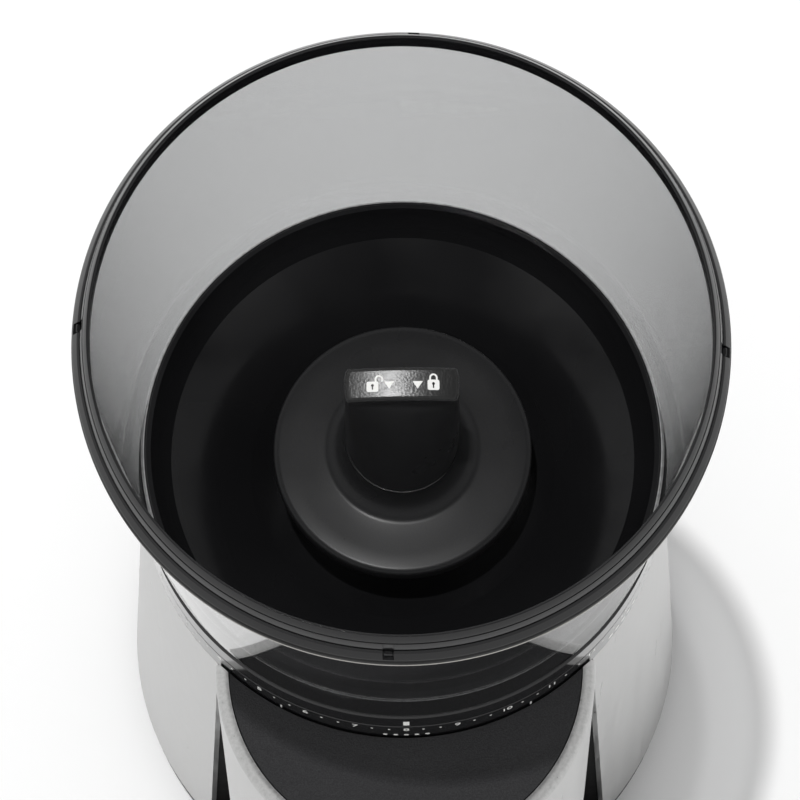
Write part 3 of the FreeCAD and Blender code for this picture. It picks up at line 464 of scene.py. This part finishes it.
def rounded_box(low, high, turn, bevel=0.25):
    """Corners of a chamfered block in millimetres, turned about the hopper axis."""
    verts = []
    levels = [(low[2], bevel), (low[2] + bevel, 0), (high[2] - bevel, 0), (high[2], bevel)]
    for z, inset in levels:
        left, right, front, back = low[0] + inset, high[0] - inset, low[1] + inset, high[1] - inset
        for x, y in ((left + bevel, front), (right - bevel, front),
                     (right, front + bevel), (right, back - bevel),
                     (right - bevel, back), (left + bevel, back),
                     (left, back - bevel), (left, front + bevel)):
            verts.append(metres(x * math.cos(turn) - y * math.sin(turn),
                                x * math.sin(turn) + y * math.cos(turn), z))
    rows = [range(8 * level, 8 * level + 8) for level in range(4)]
    faces = ring_faces(rows, 8) + [tuple(reversed(rows[0])), tuple(rows[-1])]
    return verts, faces


def joined(parts):
    """Several shapes' points and faces as one shape."""
    verts, faces = [], []
    for part_verts, part_faces in parts:
        start = len(verts)
        verts += part_verts
        faces += [tuple(number + start for number in face) for face in part_faces]
    return verts, faces


def snap_tabs():
    """The four clips that hold the rim, seated in its notches."""
    low = (SNAP_INNER + 0.1, -TAB_HALF, SNAP_FLOOR - 0.2)
    high = (SNAP_OUTER - 0.1, TAB_HALF, SNAP_FLOOR + 1.6)
    tabs = [rounded_box(low, high, turn) for turn in SNAP_TURNS]
    piece = make_piece("rim_snap_tabs", *joined(tabs), MATERIALS["gloss_black"], "hopper", "gloss_black")
    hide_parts("rim_clips")


def hopper_wall():
    """The tinted wall, which widens evenly from the base ring up to the rim."""
    low, high = WALL_LOW.z, WALL_HIGH.z
    top_radius, low_radius, bands = half_width("hopper_wall"), RING_HIGH.x - 0.4, 8
    outer, inner = [], []
    for step in range(bands + 1):
        share = step / bands
        radius = low_radius + (top_radius - low_radius) * share
        outer.append((radius, low + (high - low) * share))
        inner.append((radius - WALL_THICK, low + (high - low) * share))
    piece = lathe("hopper_wall_clear", [Vector(p) for p in inner[::-1] + outer],
                  MATERIALS["smoke_clear"], "hopper", "smoke_clear")
    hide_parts("hopper_wall")


# ---------------------------------------------------------------- lock knob

FLARE_FOOT, FLARE_TOP_Z = 20.7, DISC_TOP + 10
HANDLE_RADIUS, FIN_HALF = 14.65, 4.2


def soft_clamp(value, limit, reach):
    """Holds a value to a limit, easing into it over a reach."""
    size = abs(value)
    blend = max(reach - abs(size - limit), 0) / reach
    return math.copysign(min(size, limit) - blend * blend * reach / 4, value)


def crown(x, y, z):
    """The top of the grip falls to its ends and towards the front."""
    weight = max(0.0, min(1.0, (z - KNOB_TOP + 9) / 8))
    return z - weight * (x * x / 170 + 0.147 * (FIN_HALF - y))


def knob_side():
    """Outline of the disc, its edge and the flare up to the grip, as (radius, height)."""
    skirt, lip = DISC_TOP - 5.9, KNOB_LOW.z
    side = [(9.6, lip), (10, lip + 0.4), (10, skirt), (DISC_RADIUS - 0.8, skirt),
            (DISC_RADIUS - 0.2, skirt + 0.2), (DISC_RADIUS, skirt + 0.8), (DISC_RADIUS, DISC_TOP - 1.2),
            (DISC_RADIUS - 0.15, DISC_TOP - 0.6), (DISC_RADIUS - 0.6, DISC_TOP - 0.25),
            (32, DISC_TOP - 0.1), (28, DISC_TOP + 0.05), (24, DISC_TOP + 0.15), (FLARE_FOOT, DISC_TOP + 0.3)]
    rise = FLARE_TOP_Z - DISC_TOP - 0.3
    for step in range(1, 19):
        turn = math.radians(5 * step)
        side.append((FLARE_FOOT - (FLARE_FOOT - HANDLE_RADIUS) * math.sin(turn),
                     DISC_TOP + 0.3 + rise * (1 - math.cos(turn))))
    return side


def lock_knob():
    """The disc and its flare, lofted up to the flat grip, in one closed moulding."""
    count = 288
    shoulder, edge_size = KNOB_TOP - 0.9, 0.9
    turns = [2 * math.pi * step / count for step in range(count)]
    verts, rows = [], []

    def add_row(points):
        rows.append(range(len(verts), len(verts) + count))
        verts.extend(points)

    def grip(z, trim):
        """One level of the loft from the flare's round top to the flat bar of the grip."""
        share = min(1.0, (z - FLARE_TOP_Z) / (KNOB_TOP - 5 - FLARE_TOP_Z))
        radius = HANDLE_RADIUS - trim
        points = []
        for turn in turns:
            x, y = radius * math.cos(turn), radius * math.sin(turn)
            flat = soft_clamp(y, FIN_HALF - trim, 1.6)
            points.append((x, y * (1 - share) + flat * share, z))
        return points

    for radius, z in knob_side():
        add_row([(radius * math.cos(turn), radius * math.sin(turn), z) for turn in turns])
    add_row(grip(FLARE_TOP_Z, 0.25))
    levels = 24
    for step in range(1, levels + 1):
        add_row(grip(FLARE_TOP_Z + (shoulder - FLARE_TOP_Z) * step / levels, 0))
    for step in range(1, 5):
        lean = math.radians(22.5 * step)
        add_row(grip(shoulder + edge_size * math.sin(lean), edge_size * (1 - math.cos(lean))))
    cap_start = len(rows) - 3
    edge = [verts[number] for number in rows[-1]]
    for scale in (0.96, 0.88, 0.72, 0.5, 0.25):
        add_row([(x * scale, y * scale, z) for x, y, z in edge])
    faces = ring_faces(rows, count)
    first, last = len(verts), len(verts) + 1
    verts += [(0, 0, KNOB_LOW.z), (0, 0, KNOB_TOP)]
    faces += [(first, rows[0][(step + 1) % count], rows[0][step]) for step in range(count)]
    faces += [(last, rows[-1][step], rows[-1][(step + 1) % count]) for step in range(count)]
    points = [metres(x, y, crown(x, y, z)) for x, y, z in verts]
    piece = make_piece("lock_knob_moulding", points, faces, MATERIALS["satin_black"],
                       "hopper_lock", "satin_black", 50)
    piece.data.materials.append(MATERIALS["handle_top_black"])
    cap = set(number for row in rows[cap_start:] for number in row) | {last}
    for polygon in piece.data.polygons:
        if cap.issuperset(polygon.vertices):
            polygon.material_index = 1
    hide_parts("lock_knob")


# ---------------------------------------------------------------- button spring

SPRING_FOLD, SPRING_SKIN, SPRING_FOLDS = 2.4, 0.6, 4


def button_spring():
    """The folded return spring behind the button, built at rest; this mesh does not flatten as the button is
    pressed.
    """
    low, high = in_mm("button_spring")
    length, middle = high.y - low.y, (low.z + high.z) / 2
    radius, count = half_width("button_spring"), 64
    outside = [(radius - SPRING_FOLD * ((step + 1) % 2), high.y - length * step / SPRING_FOLDS)
               for step in range(SPRING_FOLDS + 1)]
    inside = [(size - SPRING_SKIN, y) for size, y in reversed(outside)]
    verts, rows = [], []
    for size, y in outside + inside:
        rows.append(range(len(verts), len(verts) + count))
        for step in range(count):
            turn = 2 * math.pi * step / count
            verts.append(Vector((size * math.cos(turn), y, middle + size * math.sin(turn))) * MM)
    piece = make_piece("button_spring_folds", verts, ring_faces([*rows, rows[0]], count),
                       MATERIALS["machine_steel"], "frame", "machine_steel", 20)
    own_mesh(piece)
    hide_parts("button_spring")


# ---------------------------------------------------------------- printed marks

PRINT_LOW, PRINT_HIGH = -0.03, 0.05


def slab(outline):
    """A thin closed plate over a flat outline, as local (u, v, out) points and faces."""
    count = len(outline)
    verts = [(u, v, out) for out in (PRINT_LOW, PRINT_HIGH) for u, v in outline]
    faces = [tuple(reversed(range(count))), tuple(range(count, 2 * count))]
    return verts, faces + ring_faces([range(count), range(count, 2 * count)], count)


def bar_shape(width, height, u=0.0, v=0.0):
    """A rectangular mark about (u, v)."""
    return slab([(u - width / 2, v - height / 2), (u + width / 2, v - height / 2),
                 (u + width / 2, v + height / 2), (u - width / 2, v + height / 2)])


def spot(radius, u=0.0, v=0.0, sides=20):
    """A round mark about (u, v)."""
    turns = [2 * math.pi * step / sides for step in range(sides)]
    return slab([(u + radius * math.cos(turn), v + radius * math.sin(turn)) for turn in turns])


def lettering(text, height, spacing=1.0):
    """Plain figures as thin solid shapes, centred on their own origin."""
    curve = bpy.data.curves.new("figures", "FONT")
    curve.body = text
    curve.size = height
    curve.space_character = spacing
    curve.align_x, curve.align_y = "CENTER", "CENTER"
    curve.extrude = (PRINT_HIGH - PRINT_LOW) / 2
    holder = bpy.data.objects.new("figures", curve)
    bpy.context.scene.collection.objects.link(holder)
    graph = bpy.context.evaluated_depsgraph_get()
    mesh = bpy.data.meshes.new_from_object(holder.evaluated_get(graph))
    middle = (PRINT_HIGH + PRINT_LOW) / 2
    verts = [(vert.co.x, vert.co.y, vert.co.z + middle) for vert in mesh.vertices]
    faces = [tuple(polygon.vertices) for polygon in mesh.polygons]
    bpy.data.objects.remove(holder)
    bpy.data.meshes.remove(mesh)
    return verts, faces


def moved(shape, place):
    """Sends a flat shape's local points through a placing function."""
    verts, faces = shape
    return [place(*point) for point in verts], faces


def on_drum(radius, height, degrees):
    """Places a shape on the front of an upright drum; degrees run to the right from the middle."""
    def place(u, v, out):
        turn = math.radians(degrees) + u / radius
        return metres((radius + out) * math.sin(turn), -(radius + out) * math.cos(turn), height + v)
    return place


def scale_marks():
    """Grind numbers 1 to 15 with dots between them, two range bars, and dots from fine to coarse."""
    step, first, last, middle = 11.2, 1, 15, 8
    radius = half_width("scale_collar")
    height, bar_height, dot_height = COLLAR_HIGH.z - 2.9, COLLAR_LOW.z + 12.6, COLLAR_HIGH.z - 8.2
    bar_steps, dot_spacing = 2.52, 2.3
    parts = []
    for number in range(first, last + 1):
        turn = (number - middle) * step
        parts.append(moved(lettering(str(number), 3.5, 0.9), on_drum(radius, height, turn)))
        if number < last:
            for share in (1 / 3, 2 / 3):
                parts.append(moved(spot(0.32), on_drum(radius, height, turn + step * share)))
    for side in (-1, 1):
        parts.append(moved(bar_shape(0.45, 2.8), on_drum(radius, bar_height, side * bar_steps * step)))
    for turn, grain in ((-5 * step, 0.34), (0, 0.62), (5 * step, 0.95)):
        for place in range(-2, 3):
            parts.append(moved(spot(grain), on_drum(radius, dot_height, turn + place * dot_spacing)))
    make_piece("scale_print", *joined(parts), MATERIALS["print_white"], "frame", "gloss_black")


def dial_marks():
    """Minutes 0 to 30 round the timer dial, printed on the curved head shell."""
    middle = (DIAL_LOW.z + DIAL_HIGH.z) / 2
    tick_radius, figure_radius, last, sweep = 27.4, 31.2, 30, 270

    def on_shell(u, v, out):
        return metres(u, HEAD_Y - math.sqrt((HEAD_RADIUS + out) ** 2 - u * u), middle + v)

    parts = []
    for minute in range(last + 1):
        turn = math.radians(minute * sweep / last - sweep / 2)
        across, along = math.sin(turn), math.cos(turn)
        major = minute % 5 == 0

        def turned(u, v, out):
            return on_shell(u * along + (v + tick_radius) * across,
                            (v + tick_radius) * along - u * across, out)

        def upright(u, v, out):
            return on_shell(u + figure_radius * across, v + figure_radius * along, out)

        parts.append(moved(bar_shape(0.5 if major else 0.3, 2.2 if major else 1.2), turned))
        if major:
            parts.append(moved(lettering(str(minute), 3.6), upright))
    make_piece("dial_print", *joined(parts), MATERIALS["satin_black"], "frame", "satin_black")


def hopper_pointer():
    """The mark on the hopper's base ring that points at the grind numbers."""
    pointer = moved(bar_shape(1.6, 3.6), on_drum(half_width("hopper_base_ring"), COLLAR_HIGH.z + 4.2, 0))
    make_piece("hopper_pointer_print", *pointer, MATERIALS["print_white"], "hopper", "gloss_black")


def on_fin(u, v, out):
    """Places a shape on the crowned top of the lock knob."""
    return metres(u, v, crown(u, v, KNOB_TOP) + out)


def padlock(u, v, shackle_shift):
    """A padlock sign: a square body and a shackle, moved aside when it is open."""
    corner, half_w, half_h = 0.4, 1.5, 1.3
    shackle_outer, shackle_inner = 1.05, 0.62
    body = []
    for turn, x, y in ((0, 1, 1), (90, -1, 1), (180, -1, -1), (270, 1, -1)):
        for lean in (0, 45, 90):
            angle = math.radians(turn + lean)
            body.append((u + x * (half_w - corner) + corner * math.cos(angle),
                         v + y * (half_h - corner) + corner * math.sin(angle)))
    leg, foot = half_h + 0.5, half_h - 0.1

    def bow(radius, turns):
        return [(math.cos(math.radians(turn)) * radius, math.sin(math.radians(turn)) * radius + leg)
                for turn in turns]

    loop = [(shackle_outer, foot), *bow(shackle_outer, range(0, 181, 15)), (-shackle_outer, foot),
            (-shackle_inner, foot), *bow(shackle_inner, range(180, -1, -15)), (shackle_inner, foot)]
    return [slab(body), slab([(u + x + shackle_shift, v + y) for x, y in loop])]


def knob_signs():
    """An open and a shut padlock on the grip, each with a keyhole, and an arrow beside each."""
    row, open_aside = -0.4, 1.65
    open_lock, shut_lock = (-7.4, row - 0.3), (8.0, row)
    signs = padlock(*open_lock, open_aside) + padlock(*shut_lock, 0)
    signs += [slab([(u - 1.3, row + 0.9), (u, row - 1.0), (u + 1.3, row + 0.9)]) for u in (-3.2, 4.0)]
    make_piece("knob_signs_print", *joined([moved(sign, on_fin) for sign in signs]),
               MATERIALS["print_white"], "hopper_lock", "satin_black")

    def raised(u, v, out):
        return on_fin(u, v, out + 0.04)

    holes = [spot(0.36, u, v + 0.3) for u, v in (open_lock, shut_lock)]
    holes += [bar_shape(0.34, 0.9, u, v - 0.3) for u, v in (open_lock, shut_lock)]
    make_piece("knob_keyholes_print", *joined([moved(hole, raised) for hole in holes]),
               MATERIALS["gloss_black"], "hopper_lock", "satin_black")


# ---------------------------------------------------------------- run

MATERIALS = make_materials()
OWN_FINISH = {"hopper_bowl": "bowl_black", "recess_liner": "liner_black", "head_floor": "liner_black"}
for entry in frame["record"]["subparts"]:
    finish = OWN_FINISH.get(entry["node"], entry["material_slot"])
    for slot in NODES[entry["node"]].material_slots:
        slot.material = MATERIALS[finish]

camera()
studio()
rim()
wall_lip()
snap_tabs()
hopper_wall()
lock_knob()
button_spring()
scale_marks()
dial_marks()
hopper_pointer()
knob_signs()
